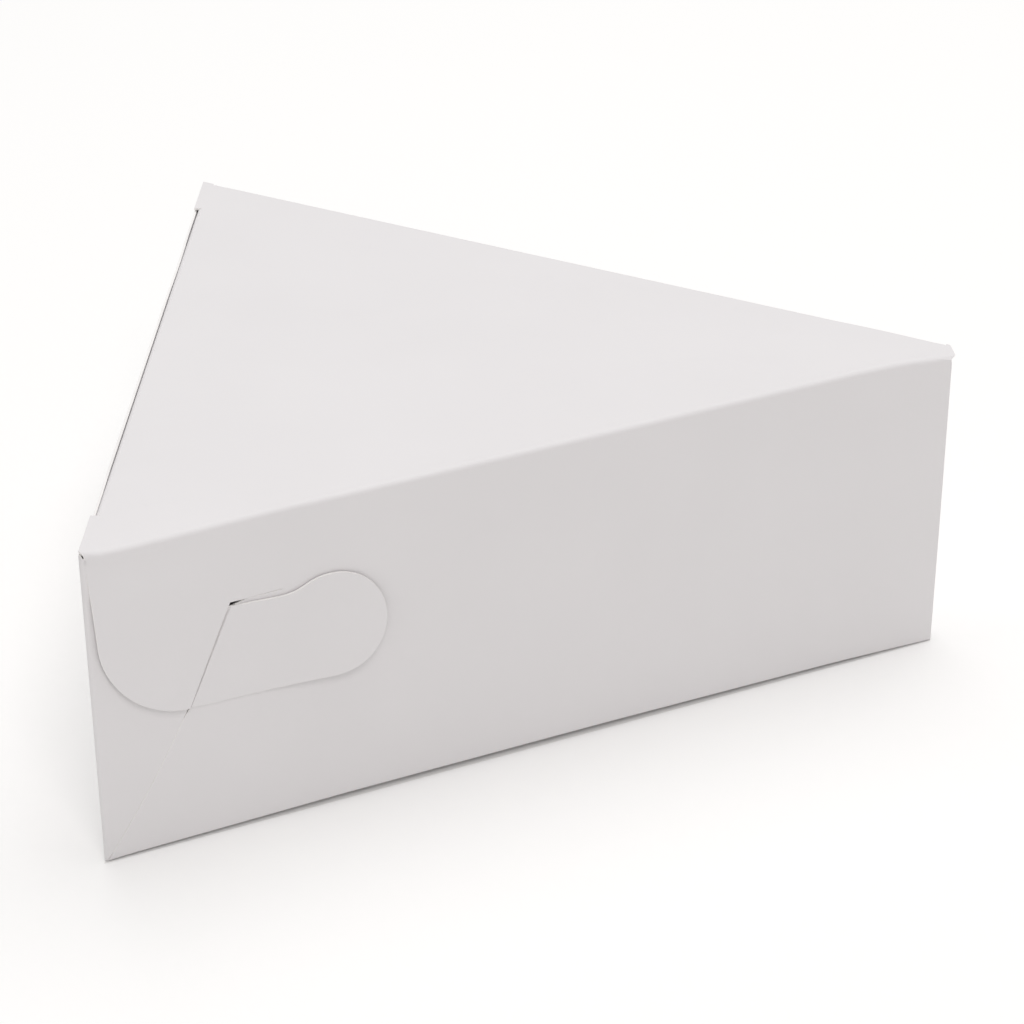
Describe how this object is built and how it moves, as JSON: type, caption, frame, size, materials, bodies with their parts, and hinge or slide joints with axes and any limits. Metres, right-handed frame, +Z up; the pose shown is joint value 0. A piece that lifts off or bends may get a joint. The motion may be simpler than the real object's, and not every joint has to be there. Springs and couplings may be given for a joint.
{
  "type": "triangular cake box",
  "caption": "Wedge-shaped cake box folded from white board, with a hinged lid, a tuck flap and hooked back corners.",
  "frame": {"origin": "centre of the bounding box, on the underside of the base", "axes": "+Z up, +X towards the blunt tip along the plan's axis of symmetry, the lid's fold along the -Y side"},
  "size_m": [0.1476, 0.159, 0.06],
  "materials": {
    "tray_board": "smooth coated white board, satin",
    "lid_board": "smooth coated white board, satin",
    "flap_board": "smooth coated white board, satin"
  },
  "bodies": {
    "tray": {"tray": "tray_board"},
    "lid": {"lid": "lid_board"},
    "tuck_flap": {"tuck_flap": "flap_board"},
    "side_flap": {"side_flap": "flap_board"}
  },
  "joints": [
    {"name": "lid_fold", "type": "hinge", "parent": "tray", "child": "lid", "pos_m": [-0.07382, -0.0795, 0.059], "axis": [0.8862, 0.4633, 0], "range_deg": [0, 110]},
    {"name": "tuck_fold", "type": "hinge", "parent": "lid", "child": "tuck_flap", "pos_m": [-0.07247, 0, 0.05955], "axis": [0, -1, 0], "range_deg": [0, 55]},
    {"name": "side_flap_fold", "type": "hinge", "parent": "lid", "child": "side_flap", "pos_m": [-0.07382, 0.0795, 0.05955], "axis": [0.8862, -0.4633, 0], "range_deg": [0, 90]}
  ],
  "couplings": [
    {"joint": "tuck_fold", "follows": "lid_fold", "ratio": 0.5}
  ]
}
